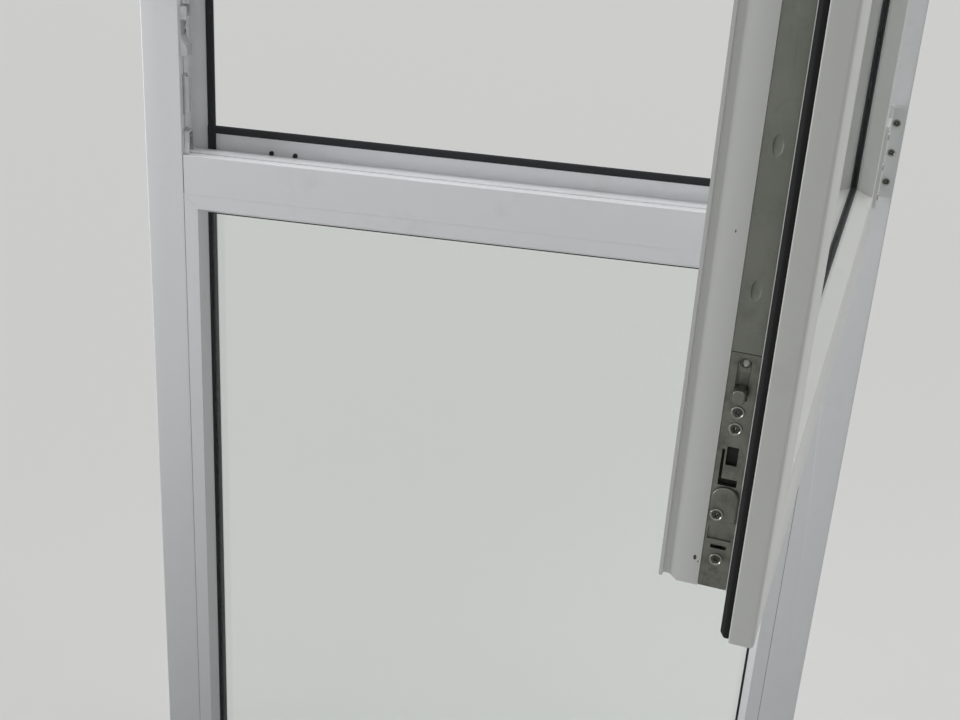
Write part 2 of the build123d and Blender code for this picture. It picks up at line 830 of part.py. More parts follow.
with BuildPart() as corner_keep:
    low, high = (upper_floor + h for h in corner_keep_heights)
    block((-half_light, keep_top_x), keep_y, (low, high))
    block((keep_top_x, ramp_x), (keep_y[0] + keep_thin_wall, keep_y[1] - keep_thin_wall),
          (high - corner_keep_lump, high - keep_thin_wall))
    fillet(corner_keep.faces().sort_by(Axis.X)[-1].edges(), keep_base)
    wall_end = high - corner_keep_lump + corner_keep_weld
    for y, lean in ((keep_y[0], 1), (keep_y[1], -1)):
        with BuildSketch(Plane.YZ.offset(keep_top_x)) as wall:
            with BuildLine():
                Polyline((y, low), (y + lean * keep_thin_wall, low), (y + lean * keep_wall, wall_end),
                         (y + lean * (keep_wall - keep_thin_wall), wall_end), close=True)
            make_face()
        extrude(wall.sketch, amount=ramp_x - keep_top_x)
    for y, z in corner_screws:
        rod((keep_top_x, y, z), (-1, 0, 0), jamb_screw_radius, keep_base, Mode.SUBTRACT)

with BuildPart() as keep_screws:
    for y, z in jamb_screws:
        x_screw(keep_top_x, y, z, 1, jamb_screw_radius, jamb_screw_head)

with BuildPart() as hinge_brackets:
    for middle in hinge_heights:
        low, high = middle - hinge_half_height, middle + hinge_half_height
        block((bracket_x, bracket_x + bracket_width),
              (room_face - hinge_plate_thickness, room_face), (low, high))
        for end, way in ((low, 1), (high, -1)):
            rod((hinge_x, hinge_y, end), (0, 0, way), knuckle_radius, frame_knuckle_length)
            block((hinge_x, hinge_x + bracket_neck_width), (hinge_y, room_face),
                  (end, end + way * frame_knuckle_length))
        rod((hinge_x, hinge_y, low), (0, 0, 1), hinge_pin_radius + running_clearance,
            2 * hinge_half_height, Mode.SUBTRACT)
        for step in (-1, 0, 1):
            rod((bracket_screw_x, room_face, middle + step * hinge_screw_pitch), (0, -1, 0),
                screw_shank_radius, hinge_plate_thickness, Mode.SUBTRACT)

with BuildPart() as hinge_pins:
    for middle in hinge_heights:
        rod((hinge_x, hinge_y, middle - hinge_half_height), (0, 0, 1),
            hinge_pin_radius, 2 * hinge_half_height)
        for way in (-1, 1):
            rod((hinge_x, hinge_y, middle + way * hinge_half_height), (0, 0, way),
                pin_head_radius, pin_head_height)

with BuildPart() as hinge_caps:
    for middle in hinge_heights:
        for way in (-1, 1):
            end = middle + way * hinge_half_height
            rod((hinge_x, hinge_y, end), (0, 0, way), knuckle_radius, hinge_cap_height)
    fillet([e for e in hinge_caps.edges().filter_by(GeomType.CIRCLE)
            if min(abs(e.center().Z - m - w * (hinge_half_height + hinge_cap_height))
                   for m in hinge_heights for w in (-1, 1)) < 1e-3], hinge_cap_radius)
    for middle in hinge_heights:
        for way in (-1, 1):
            end = middle + way * hinge_half_height
            rod((hinge_x, hinge_y, end), (0, 0, way), pin_head_radius + running_clearance,
                pin_head_height + running_clearance, Mode.SUBTRACT)

with BuildPart() as bracket_screws:
    for middle in hinge_heights:
        for step in (-1, 0, 1):
            y_screw(bracket_screw_x, room_face - hinge_plate_thickness, middle + step * hinge_screw_pitch)

# The sash body, drawn closed

with BuildPart() as sash_frame:
    ring(half_sash, sash_bottom, sash_top, flange_face, sash_profile(),
         (((-flange_reach, -flange_thickness), flange_radius), ((-flange_reach, 0), flange_radius / 2)))
    block((edge_x + channel_depth - 1, case_back_x + case_clearance),
          (groove_y - case_width / 2 - case_clearance, groove_y + case_width / 2 + case_clearance),
          (handle_z - case_half_height - case_clearance, handle_z + case_half_height + case_clearance),
          Mode.SUBTRACT)
    rod((handle_x, sash_room_face, handle_z), (0, 1, 0), spindle_hole_radius,
        groove_y - sash_room_face, Mode.SUBTRACT)
    for way in (-1, 1):
        rod((handle_x, sash_room_face, handle_z + way * rosette_screw_pitch / 2), (0, 1, 0),
            rosette_screw_radius, rosette_screw_length, Mode.SUBTRACT)
    for z in plate_screw_z + corner_screw_z:
        rod((edge_x + plate_sink, groove_y, z), (1, 0, 0), screw_shank_radius, screw_length, Mode.SUBTRACT)
    rod((edge_x, lifter_screw_y, lifter_screw_z), (1, 0, 0),
        screw_shank_radius, screw_length, Mode.SUBTRACT)
    for middle in hinge_heights:
        for step in (-1, 0, 1):
            rod((leaf_screw_x, sash_room_face, middle + step * hinge_screw_pitch), (0, 1, 0),
                screw_shank_radius, screw_length - hinge_plate_thickness, Mode.SUBTRACT)

with BuildPart() as sash_gasket:
    ring(half_sash, sash_bottom, sash_top, flange_face, flange_gasket_profile())

with BuildPart() as sash_outer_gasket:
    ring(half_sash, sash_bottom, sash_top, flange_face,
         lip_gasket_profile(sash_core, -flange_thickness, glass_gasket_height))

with BuildPart() as sash_glass_outer:
    pane(half_sash - sash_core - glass_edge_gap, sash_bottom + sash_core + glass_edge_gap,
         sash_top - sash_core - glass_edge_gap,
         sash_room_face + glass_near + glass_thickness - pane_thickness)

with BuildPart() as sash_glass_inner:
    pane(half_sash - sash_core - glass_edge_gap, sash_bottom + sash_core + glass_edge_gap,
         sash_top - sash_core - glass_edge_gap, sash_room_face + glass_near)

with BuildPart() as sash_glass_spacer:
    ring(half_sash, sash_bottom, sash_top, flange_face, spacer_profile(sash_core, -flange_thickness))

with BuildPart() as sash_glass_seal:
    ring(half_sash, sash_bottom, sash_top, flange_face, seal_profile(sash_core, -flange_thickness))

with BuildPart() as sash_inner_gasket:
    ring(half_sash, sash_bottom, sash_top, flange_face, inner_gasket_profile(sash_core, -flange_thickness))

with BuildPart() as sash_bead_bottom:
    bead("bottom", half_sash, sash_bottom, sash_top, flange_face, sash_core, -flange_thickness)

with BuildPart() as sash_bead_top:
    bead("top", half_sash, sash_bottom, sash_top, flange_face, sash_core, -flange_thickness)

with BuildPart() as sash_bead_left:
    bead("left", half_sash, sash_bottom, sash_top, flange_face, sash_core, -flange_thickness)

with BuildPart() as sash_bead_right:
    bead("right", half_sash, sash_bottom, sash_top, flange_face, sash_core, -flange_thickness)

with BuildPart() as sash_glazing_packers:
    packers(half_sash, sash_bottom, sash_top, flange_face, sash_core, -flange_thickness)

# The lock hardware, also drawn with the sash closed

with BuildPart() as gear_faceplate:
    block((edge_x + plate_sink, edge_x + recess_depth), plate_y, (plate_joint_z, plate_top_z))
    for height in cam_heights[1:]:
        cam_slot(sash_bottom + height)
    for z in clinch_z:
        rod((edge_x + plate_sink, groove_y, z), (1, 0, 0), clinch_radius, clinch_depth, Mode.SUBTRACT)
    for z in plate_screw_z:
        rod((edge_x, groove_y, z), (1, 0, 0), screw_shank_radius, recess_depth, Mode.SUBTRACT)

with BuildPart() as corner_drive_plate:
    block((edge_x + plate_sink, edge_x + recess_depth), plate_y,
          (sash_bottom + plate_joint_gap, plate_low_end_z))
    cam_slot(sash_bottom + cam_heights[0])
    for heights, depths in (drive_window, drive_slit, drive_hook_gap, drive_low_slot):
        block((edge_x, edge_x + recess_depth), tuple(flange_face + d for d in depths),
              tuple(sash_bottom + h for h in heights), Mode.SUBTRACT)
    block((edge_x, edge_x + recess_depth / 2), tuple(flange_face + d for d in drive_recess[1]),
          tuple(sash_bottom + h for h in drive_recess[0]), Mode.SUBTRACT)
    for z in corner_screw_z:
        rod((edge_x, groove_y, z), (1, 0, 0), screw_shank_radius, recess_depth, Mode.SUBTRACT)
    rod((edge_x, lifter_screw_y, lifter_screw_z), (1, 0, 0),
        screw_shank_radius, recess_depth, Mode.SUBTRACT)

with BuildPart() as sash_lifter:
    low, high = (sash_bottom + h for h in lifter_heights)
    near, far = (flange_face + d for d in lifter_depths)
    with BuildSketch(Plane.YZ.offset(edge_x + plate_sink)) as outline:
        with BuildLine():
            Polyline((near, high), (near, low), (far, low), (far, high), close=True)
        make_face()
        fillet(outline.vertices().group_by(Axis.Y)[-1], lifter_corner)
    extrude(outline.sketch, amount=-lifter_thickness)
    fillet(sash_lifter.faces().sort_by(Axis.X)[0].edges(), lifter_edge_radius)
    rod((edge_x - lifter_thickness, lifter_screw_y, lifter_screw_z), (1, 0, 0),
        screw_shank_radius, 2 * lifter_thickness, Mode.SUBTRACT)

with BuildPart() as hardware_screws:
    for z in plate_screw_z + corner_screw_z:
        x_screw(edge_x + plate_sink, groove_y, z, -1, screw_shank_radius, screw_head_radius)
    x_screw(edge_x + plate_sink - lifter_thickness, lifter_screw_y, lifter_screw_z, -1,
            screw_shank_radius, screw_head_radius)

with BuildPart() as gear_case:
    block((case_front_x, case_back_x), case_y, (handle_z - case_half_height, handle_z + case_half_height))
    block((case_front_x, edge_x + channel_depth - rail_clearance), case_y,
          (handle_z - case_ear_half_height, handle_z + case_ear_half_height))
    block((case_front_x, rail_back_x + rack_slot_depth), cavity_y,
          (handle_z - case_ear_half_height, handle_z + case_ear_half_height), Mode.SUBTRACT)
    rod((handle_x, cavity_y[0], handle_z), (0, 1, 0), gear_tip_radius + case_clearance,
        case_cavity_width, Mode.SUBTRACT)
    rod((handle_x, case_y[0], handle_z), (0, 1, 0), gear_journal_radius + running_clearance,
        case_width, Mode.SUBTRACT)

with BuildPart() as hinge_leaves:
    for middle in hinge_heights:
        half = hinge_leaf_height / 2
        block((leaf_x, half_sash + flange_reach), leaf_y, (middle - half, middle + half))
        half = sash_knuckle_length / 2
        block((leaf_x, hinge_x), leaf_y, (middle - half, middle + half))
        rod((hinge_x, hinge_y, middle - half), (0, 0, 1), knuckle_radius, sash_knuckle_length)
        rod((hinge_x, hinge_y, middle - half), (0, 0, 1), hinge_pin_radius + running_clearance,
            sash_knuckle_length, Mode.SUBTRACT)
        for step in (-1, 0, 1):
            rod((leaf_screw_x, leaf_y[0], middle + step * hinge_screw_pitch), (0, 1, 0),
                screw_shank_radius, hinge_plate_thickness, Mode.SUBTRACT)

with BuildPart() as leaf_screws:
    for middle in hinge_heights:
        for step in (-1, 0, 1):
            y_screw(leaf_screw_x, leaf_y[0], middle + step * hinge_screw_pitch)

with BuildPart() as handle_rosette:
    with BuildSketch(Plane(origin=(handle_x, sash_room_face, handle_z), x_dir=(1, 0, 0), z_dir=(0, -1, 0))):
        RectangleRounded(rosette_width, rosette_length, rosette_corner)
    extrude(amount=rosette_thickness)
    fillet(handle_rosette.faces().sort_by(Axis.Y)[0].edges(), rosette_edge_radius)
    rod((handle_x, rosette_face, handle_z), (0, 1, 0), neck_radius + running_clearance,
        rosette_thickness, Mode.SUBTRACT)
    for way in (-1, 1):
        z = handle_z + way * rosette_screw_pitch / 2
        rod((handle_x, rosette_face, z), (0, 1, 0), rosette_screw_head + screw_clearance,
            rosette_screw_head_height, Mode.SUBTRACT)
        rod((handle_x, rosette_face, z), (0, 1, 0), rosette_screw_radius, rosette_thickness, Mode.SUBTRACT)

with BuildPart() as rosette_screws:
    for way in (-1, 1):
        start = (handle_x, rosette_face, handle_z + way * rosette_screw_pitch / 2)
        rod(start, (0, 1, 0), rosette_screw_head, rosette_screw_head_height)
        rod(start, (0, 1, 0), rosette_screw_radius, rosette_thickness + rosette_screw_length)

# The handle body, with the lever level as it is when the lock is open

with BuildPart() as handle_lever:
    with BuildSketch(Plane(origin=(handle_x, lever_y, handle_z), x_dir=(1, 0, 0), z_dir=(0, -1, 0))):
        Circle(lever_width / 2)
        with Locations((lever_length - lever_tip_width / 2, 0)):
            Circle(lever_tip_width / 2)
        make_hull()
    extrude(amount=lever_thickness / 2, both=True)
    fillet(handle_lever.faces().sort_by(Axis.Y)[0].edges(), lever_radius)
    fillet(handle_lever.faces().sort_by(Axis.Y)[-1].edges(), lever_radius)
    rod((handle_x, lever_y, handle_z), (0, 1, 0), neck_radius, sash_room_face - neck_base_gap - lever_y)
    block((handle_x - socket_half, handle_x + socket_half), (lever_y, sash_room_face),
          (handle_z - socket_half, handle_z + socket_half), Mode.SUBTRACT)

with BuildPart() as handle_spindle:
    block((handle_x - spindle_size / 2, handle_x + spindle_size / 2), (lever_y, case_y[1]),
          (handle_z - spindle_size / 2, handle_z + spindle_size / 2))

with BuildPart() as gear_pinion:
    gear_plane = Plane(origin=(handle_x, groove_y, handle_z), x_dir=(1, 0, 0), z_dir=(0, -1, 0))
    with BuildSketch(gear_plane) as teeth:
        with BuildLine():
            Polyline(*pinion_points(), close=True)
        make_face()
    extrude(teeth.sketch, amount=gear_width / 2, both=True)
    rod((handle_x, case_y[0], handle_z), (0, 1, 0), gear_journal_radius, case_width)
    block((handle_x - socket_half, handle_x + socket_half), case_y,
          (handle_z - socket_half, handle_z + socket_half), Mode.SUBTRACT)

# The lock rail body

with BuildPart() as lock_rail:
    block((rail_x, rail_back_x), (groove_y - rail_width / 2, groove_y + rail_width / 2),
          (rail_low_z, rail_high_z))
    with BuildSketch(Plane(origin=(0, groove_y, 0), x_dir=(1, 0, 0), z_dir=(0, -1, 0))) as teeth:
        for k in range(-rack_teeth_below, rack_teeth_above):
            with BuildLine():
                Polyline(*rack_tooth(handle_z + (k + 0.5) * tooth_pitch), close=True)
            make_face()
    extrude(teeth.sketch, amount=gear_width / 2, both=True)
    half_width, half_height = (size / 2 + running_clearance for size in coupler_size)
    block((rail_x, rail_back_x), (groove_y - half_width, groove_y + half_width),
          (coupler_z - half_height, coupler_z + half_height), Mode.SUBTRACT)
    for z in rail_slot_z:
        slot_plane = Plane(origin=(rail_x, groove_y, z - rail_travel / 2), x_dir=(0, 0, 1), z_dir=(1, 0, 0))
        with BuildSketch(slot_plane) as slot:
            SlotCenterToCenter(rail_travel + 2 * case_clearance, 2 * (screw_shank_radius + case_clearance))
        extrude(slot.sketch, amount=rail_thickness, mode=Mode.SUBTRACT)

with BuildPart() as drive_coupler:
    half_width, half_height = (size / 2 for size in coupler_size)
    block((rail_x, rail_x + coupler_depth), (groove_y - half_width, groove_y + half_width),
          (coupler_z - half_height, coupler_z + half_height))

with BuildPart() as lock_cams:
    for height in cam_heights:
        cam_plane = Plane(origin=(rail_x, groove_y, sash_bottom + height), x_dir=(0, 1, 0), z_dir=(-1, 0, 0))
        with BuildSketch(cam_plane) as cam:
            RectangleRounded(*cam_size, cam_corner)
        extrude(cam.sketch, amount=rail_x - edge_x + cam_reach)
    fillet(lock_cams.faces().filter_by(Axis.X).group_by(Axis.X)[0].edges(), lifter_edge_radius)

for name, builder in (
    ("outer_frame", outer_frame),
    ("transom", transom),
    ("upper_rebate_gasket", upper_rebate_gasket),
    ("lower_outer_gasket", lower_outer_gasket),
    ("lower_glass_outer", lower_glass_outer),
    ("lower_glass_inner", lower_glass_inner),
    ("lower_glass_spacer", lower_glass_spacer),
    ("lower_glass_seal", lower_glass_seal),
    ("lower_inner_gasket", lower_inner_gasket),
    ("lower_bead_bottom", lower_bead_bottom),
    ("lower_bead_top", lower_bead_top),
    ("lower_bead_left", lower_bead_left),
    ("lower_bead_right", lower_bead_right),
    ("lower_glazing_packers", lower_glazing_packers),
    ("drain_caps", drain_caps),
    ("lock_keeps", lock_keeps),
    ("lifter_ramp", lifter_ramp),
    ("corner_keep", corner_keep),
    ("keep_screws", keep_screws),
    ("hinge_brackets", hinge_brackets),
    ("hinge_pins", hinge_pins),
    ("hinge_caps", hinge_caps),
    ("bracket_screws", bracket_screws),
):
    write(name, builder.part)

for name, builder in (
    ("sash_frame", sash_frame),
    ("sash_gasket", sash_gasket),
    ("sash_outer_gasket", sash_outer_gasket),
    ("sash_glass_outer", sash_glass_outer),
    ("sash_glass_inner", sash_glass_inner),
    ("sash_glass_spacer", sash_glass_spacer),
    ("sash_glass_seal", sash_glass_seal),
    ("sash_inner_gasket", sash_inner_gasket),
    ("sash_bead_bottom", sash_bead_bottom),
    ("sash_bead_top", sash_bead_top),
    ("sash_bead_left", sash_bead_left),
    ("sash_bead_right", sash_bead_right),
    ("sash_glazing_packers", sash_glazing_packers),
    ("gear_faceplate", gear_faceplate),
    ("corner_drive_plate", corner_drive_plate),
    ("sash_lifter", sash_lifter),
    ("hardware_screws", hardware_screws),
    ("gear_case", gear_case),
    ("hinge_leaves", hinge_leaves),
    ("leaf_screws", leaf_screws),
    ("handle_rosette", handle_rosette),
    ("rosette_screws", rosette_screws),
    ("handle_lever", handle_lever),
    ("handle_spindle", handle_spindle),
    ("gear_pinion", gear_pinion),
    ("lock_rail", lock_rail),
    ("drive_coupler", drive_coupler),
    ("lock_cams", lock_cams),
):
    write(name, swung_open(builder.part))
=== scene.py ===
import bpy
import json
import math
from mathutils import Matrix, Vector


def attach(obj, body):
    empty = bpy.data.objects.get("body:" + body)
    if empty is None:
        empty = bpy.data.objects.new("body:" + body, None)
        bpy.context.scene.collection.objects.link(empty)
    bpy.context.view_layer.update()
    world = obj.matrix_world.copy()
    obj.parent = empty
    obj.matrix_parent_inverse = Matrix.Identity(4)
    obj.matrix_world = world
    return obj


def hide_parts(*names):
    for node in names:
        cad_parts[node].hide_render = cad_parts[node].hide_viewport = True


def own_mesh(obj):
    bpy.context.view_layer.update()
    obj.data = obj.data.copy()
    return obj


# The looks of a side-hung house window with its sash standing open. Metres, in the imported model's frame.
MM = 0.001
HINGE_AXIS = Vector((0.357, -0.044, 0.0))
SWUNG_OPEN = (Matrix.Translation(HINGE_AXIS) @ Matrix.Rotation(math.radians(81.0), 4, "Z")
              @ Matrix.Translation(-HINGE_AXIS))

# Where things sit, in millimetres with the sash closed: X to the right, Y from the room outwards, Z up
LIGHT_EDGE = 340.0
SASH_BOTTOM = 885.0
SASH_EDGE = -328.0
PLATE_FACE = -327.6
GROOVE_Y = -19.1
FLANGE_FACE = -34.6
KEEP_FACE = -338.4
KEEP_Y = -16.9
HINGE_MIDDLES = (954.0, 1839.0)
HANDLE_X, HANDLE_Z = -311.3375, 1396.5

# Heights above the sash's bottom, in millimetres
CORNER_SCREWS = (19.4, 102.7, 112.8)
LIFTER_SCREW = 49.2
GEAR_SCREWS = (640.0, 900.0)
CAM_HEIGHTS = (124.5, 461.5, 761.5)

# Ways that a screw's head can face, with the sash closed
TO_LEFT, TO_RIGHT, TO_ROOM = (-1, 0, 0), (1, 0, 0), (0, -1, 0)

# The camera stands where the photograph was taken from
CAMERA_PLACE = Vector((0.18445, -1.4264, 1.3507))
CAMERA_YAW, CAMERA_PITCH, CAMERA_ROLL = math.radians(8.05), math.radians(25.43), math.radians(-3.67)
FOCAL_PIXELS = 1456.3
IMAGE_WIDTH = 960
SENSOR_WIDTH = 36.0
NEAR_CLIP = 0.02

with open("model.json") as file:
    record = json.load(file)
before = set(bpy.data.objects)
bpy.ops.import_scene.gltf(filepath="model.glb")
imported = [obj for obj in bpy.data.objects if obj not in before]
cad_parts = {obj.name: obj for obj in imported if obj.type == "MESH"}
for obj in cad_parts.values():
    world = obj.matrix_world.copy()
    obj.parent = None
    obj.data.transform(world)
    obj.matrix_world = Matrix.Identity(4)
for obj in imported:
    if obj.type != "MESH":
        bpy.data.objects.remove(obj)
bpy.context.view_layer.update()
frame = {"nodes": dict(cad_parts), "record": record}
nodes = frame["nodes"]
bodies = frame["record"]["behaviour"]["bodies"]
body_of_node = {name: body for body, names in bodies.items() for name in names}


def metres(*sizes_mm):
    """Three millimetre sizes, or a place in millimetres, as a vector in metres."""
    return Vector([size * MM for size in sizes_mm])


def linear(hex_colour):
    """Turns an sRGB hex colour into the linear values that shaders take."""
    parts = [int(hex_colour[i:i + 2], 16) / 255 for i in (1, 3, 5)]
    return tuple(p / 12.92 if p <= 0.04045 else ((p + 0.055) / 1.055) ** 2.4 for p in parts) + (1.0,)


def add_node(tree, kind, values=None, links=None, **settings):
    """Adds one shader node with its settings, socket values and incoming links."""
    made = tree.nodes.new(kind)
    for name, value in settings.items():
        setattr(made, name, value)
    for socket, value in (values or {}).items():
        made.inputs[socket].default_value = value
    for socket, source in (links or {}).items():
        tree.links.new(source, made.inputs[socket])
    return made


def finish(name, pale, dark, patch_mm, grain_mm, relief_mm, roughness, metallic=0.0, ior=1.5,
           stretch=(1, 1, 1), worn=None, wear_mm=None, wear=None):
    """A surface whose colour drifts in patches, with a fine grain in its relief and its gloss.

    The roughness runs between two values with the grain, and stretch draws the grain out along an axis.
    A worn colour comes in marks wear_mm wide. Its wear is the noise level where the marks begin, the
    level where they are full, and the share of the worn colour there.
    """
    material = bpy.data.materials.new(name)
    material.use_nodes = True
    tree = material.node_tree
    shader = tree.nodes["Principled BSDF"]
    shader.inputs["Metallic"].default_value = metallic
    if not metallic:
        shader.inputs["IOR"].default_value = ior
    place = add_node(tree, "ShaderNodeTexCoord").outputs["Object"]
    along = add_node(tree, "ShaderNodeMapping", {"Scale": stretch}, {"Vector": place}).outputs["Vector"]
    patches = add_node(tree, "ShaderNodeTexNoise",
                       {"Scale": 1000 / patch_mm, "Detail": 4.0, "Roughness": 0.6}, {"Vector": place})
    grain = add_node(tree, "ShaderNodeTexNoise",
                     {"Scale": 1000 / grain_mm, "Detail": 3.0, "Roughness": 0.55}, {"Vector": along})
    tint = add_node(tree, "ShaderNodeMix", {6: linear(dark), 7: linear(pale)}, {0: patches.outputs["Fac"]},
                    data_type="RGBA")
    colour = tint.outputs[2]
    if worn:
        begins, full, share = wear
        marks = add_node(tree, "ShaderNodeTexNoise",
                         {"Scale": 1000 / wear_mm, "Detail": 8.0, "Roughness": 0.7}, {"Vector": place})
        mask = add_node(tree, "ShaderNodeMapRange", {"From Min": begins, "From Max": full, "To Max": share},
                        {"Value": marks.outputs["Fac"]})
        dirty = add_node(tree, "ShaderNodeMix", {7: linear(worn)}, {0: mask.outputs["Result"], 6: colour},
                         data_type="RGBA")
        colour = dirty.outputs[2]
    tree.links.new(colour, shader.inputs["Base Color"])
    gloss = add_node(tree, "ShaderNodeMapRange", {"To Min": roughness[0], "To Max": roughness[1]},
                     {"Value": grain.outputs["Fac"]})
    tree.links.new(gloss.outputs["Result"], shader.inputs["Roughness"])
    relief = add_node(tree, "ShaderNodeBump", {"Distance": relief_mm * MM, "Strength": 1.0},
                      {"Height": grain.outputs["Fac"]})
    tree.links.new(relief.outputs["Normal"], shader.inputs["Normal"])
    return material


# Rigid PVC, extruded: satin white, with a faint grain and a breath of house dust
extruded_upvc = finish("extruded_white_upvc", "#E7E8E9", "#E1E2E4", patch_mm=140, grain_mm=2.5,
                       relief_mm=0.012, roughness=(0.30, 0.40), ior=1.53,
                       worn="#D2D2CE", wear_mm=70, wear=(0.58, 0.80, 0.5))
# The sash's profile: the same PVC, painted a shade darker and warmer than the frame's as painted shade for
# the sash, which stands further from the light; a little duller from handling
shaded_sash_upvc = finish("painted_shade_sash_upvc", "#DFE0DD", "#D9DAD6", patch_mm=120, grain_mm=2.5,
                      relief_mm=0.012, roughness=(0.32, 0.44), ior=1.53,
                      worn="#C9C9C2", wear_mm=60, wear=(0.56, 0.80, 0.5))
# EPDM rubber, extruded: near-black and dull, with pale dust on it
epdm_rubber = finish("extruded_epdm_rubber", "#1C1D20", "#111214", patch_mm=30, grain_mm=1.2,
                     relief_mm=0.05, roughness=(0.55, 0.75), ior=1.45,
                     worn="#35363A", wear_mm=14, wear=(0.58, 0.78, 0.6))
# The sash's flange gasket: softer EPDM, painted blacker than the other gaskets as painted shade, and quite
# dull where it is rubbed by the frame
shaded_flange_epdm = finish("painted_shade_flange_epdm", "#0E0E10", "#09090A", patch_mm=30, grain_mm=1.2,
                   relief_mm=0.05, roughness=(0.7, 0.85), ior=1.4,
                   worn="#1E1E20", wear_mm=14, wear=(0.58, 0.78, 0.5))
# Aluminium spacer bar: dull, with fine roll lines along the upright bars
spacer_aluminium = finish("rolled_aluminium_spacer", "#B9BCBE", "#A6A9AB", patch_mm=25, grain_mm=1.5,
                          relief_mm=0.01, roughness=(0.35, 0.5), metallic=1.0, stretch=(1, 1, 0.1))
# Polysulphide edge seal: dull black paste
edge_seal = finish("polysulphide_edge_seal", "#1E1E1F", "#141415", patch_mm=20, grain_mm=2.0,
                   relief_mm=0.15, roughness=(0.6, 0.8))
# Polypropylene glazing packer: moulded, blue
packer_plastic = finish("moulded_polypropylene_packer", "#3A5E96", "#32538A", patch_mm=15, grain_mm=1.0,
                        relief_mm=0.03, roughness=(0.4, 0.55))
# Zinc-plated steel strip: rolled, with fine draw lines along the strip and cloudy greenish plating
plated_steel = finish("zinc_plated_steel_strip", "#83857D", "#6F716A", patch_mm=26, grain_mm=0.9,
                      relief_mm=0.008, roughness=(0.38, 0.50), metallic=1.0, stretch=(1, 1, 0.06),
                      worn="#5E6058", wear_mm=18, wear=(0.54, 0.78, 0.6))
# The corner drive's plate: the same plating, dull with grease and rubbed by the parts that slide under it
greasy_plate = finish("greased_zinc_plate", "#8A8B83", "#5E5E56", patch_mm=12, grain_mm=0.8,
                      relief_mm=0.015, roughness=(0.34, 0.55), metallic=1.0, stretch=(1, 1, 0.2),
                      worn="#45453D", wear_mm=10, wear=(0.50, 0.80, 0.8))
# Die-cast zinc: slightly pebbled from the mould, with a silver coat
cast_zinc = finish("silver_coated_cast_zinc", "#C9CACB", "#AEB0B2", patch_mm=8, grain_mm=0.7,
                   relief_mm=0.03, roughness=(0.32, 0.5), metallic=1.0,
                   worn="#85878A", wear_mm=6, wear=(0.56, 0.74, 0.7))
# Zinc-plated screws: brighter than the plates round them, with dirt in patches
plated_screw = finish("zinc_plated_screw", "#A8A9A4", "#82837D", patch_mm=3, grain_mm=0.4,
                      relief_mm=0.008, roughness=(0.22, 0.4), metallic=1.0,
                      worn="#45453F", wear_mm=2.4, wear=(0.54, 0.70, 0.85))
# Painted shade in a screw's dish and cross: a dark, half-dull film on the metal
screw_recess_shade = finish("painted_shade_screw_recess", "#6A6A63", "#3B3B36", patch_mm=2, grain_mm=0.3,
                     relief_mm=0.010, roughness=(0.4, 0.6), metallic=1.0,
                     worn="#26261F", wear_mm=1.6, wear=(0.48, 0.62, 0.9))
# Painted shade in a drain hole and inside the corner drive: dark grey-brown and quite dull
dark_hole_shade = finish("painted_shade_in_holes", "#3A3936", "#232220", patch_mm=4, grain_mm=0.6,
                     relief_mm=0.10, roughness=(0.75, 0.9))
# House dust packed in a joint: grey-brown and quite dull
joint_dust = finish("settled_joint_dust", "#5C5B57", "#3F3E3B", patch_mm=12, grain_mm=0.5,
                    relief_mm=0.05, roughness=(0.8, 0.95))
# Powder-coated steel and alloy: white with a fine orange-peel
powder_coat = finish("white_powder_coat", "#E8E9E9", "#E0E2E2", patch_mm=40, grain_mm=1.1,
                     relief_mm=0.03, roughness=(0.28, 0.38))
# Moulded ABS trim: white, slightly duller than the profiles
abs_trim = finish("moulded_white_abs", "#E4E6E6", "#DCDEDE", patch_mm=30, grain_mm=0.8,
                  relief_mm=0.02, roughness=(0.4, 0.5), ior=1.54)


def float_glass(dust_mm=60, most_haze=0.02):
    """Clear soda-lime glass: all but neutral, with a breath of dust that only shows at a glance."""
    material = bpy.data.materials.new("clear_float_glass")
    material.use_nodes = True
    tree = material.node_tree
    shader = tree.nodes["Principled BSDF"]
    shader.inputs["Base Color"].default_value = linear("#FBFDFC")
    shader.inputs["Transmission Weight"].default_value = 1.0
    shader.inputs["IOR"].default_value = 1.52
    place = add_node(tree, "ShaderNodeTexCoord").outputs["Object"]
    dust = add_node(tree, "ShaderNodeTexNoise", {"Scale": 1000 / dust_mm, "Detail": 6.0}, {"Vector": place})
    haze = add_node(tree, "ShaderNodeMapRange", {"To Min": 0.0, "To Max": most_haze},
                    {"Value": dust.outputs["Fac"]})
    tree.links.new(haze.outputs["Result"], shader.inputs["Roughness"])
    return material


finish_of_slot = {
    "white_upvc": extruded_upvc,
    "black_gasket": epdm_rubber,
    "glass": float_glass(),
    "spacer": spacer_aluminium,
    "edge_seal": edge_seal,
    "packer": packer_plastic,
    "lock_steel": plated_steel,
    "cast_keep": cast_zinc,
    "screw_steel": plated_screw,
    "white_hinge": powder_coat,
    "white_handle": powder_coat,
    "white_trim": abs_trim,
}
slot_of_node = {part["node"]: part["material_slot"] for part in frame["record"]["subparts"]}
finish_of_node = {name: finish_of_slot[slot] for name, slot in slot_of_node.items()}
drive_parts = ("corner_drive_plate", "sash_lifter", "drive_coupler", "lock_cams")
for name in drive_parts:
    finish_of_node[name] = greasy_plate
# The flange gasket takes the blacker EPDM: painted shade
finish_of_node["sash_gasket"] = shaded_flange_epdm
# The sash and its beads take the darker copy of the white PVC: painted shade
for name in ("sash_frame", "sash_bead_bottom", "sash_bead_top", "sash_bead_left", "sash_bead_right"):
    finish_of_node[name] = shaded_sash_upvc
for name, piece in nodes.items():
    piece.data.materials.clear()
    piece.data.materials.append(finish_of_node[name])


def only(piece):
    """Selects one piece and nothing else."""
    bpy.ops.object.select_all(action="DESELECT")
    piece.select_set(True)
    bpy.context.view_layer.objects.active = piece


def stands_for(piece, name):
    """Fits a finished piece in the place of a CAD node. A piece that brings its own surfaces keeps them."""
    if not piece.get("own_surfaces"):
        piece.data.materials.clear()
        piece.data.materials.append(finish_of_node[name])
    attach(piece, body_of_node[name])
    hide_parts(name)


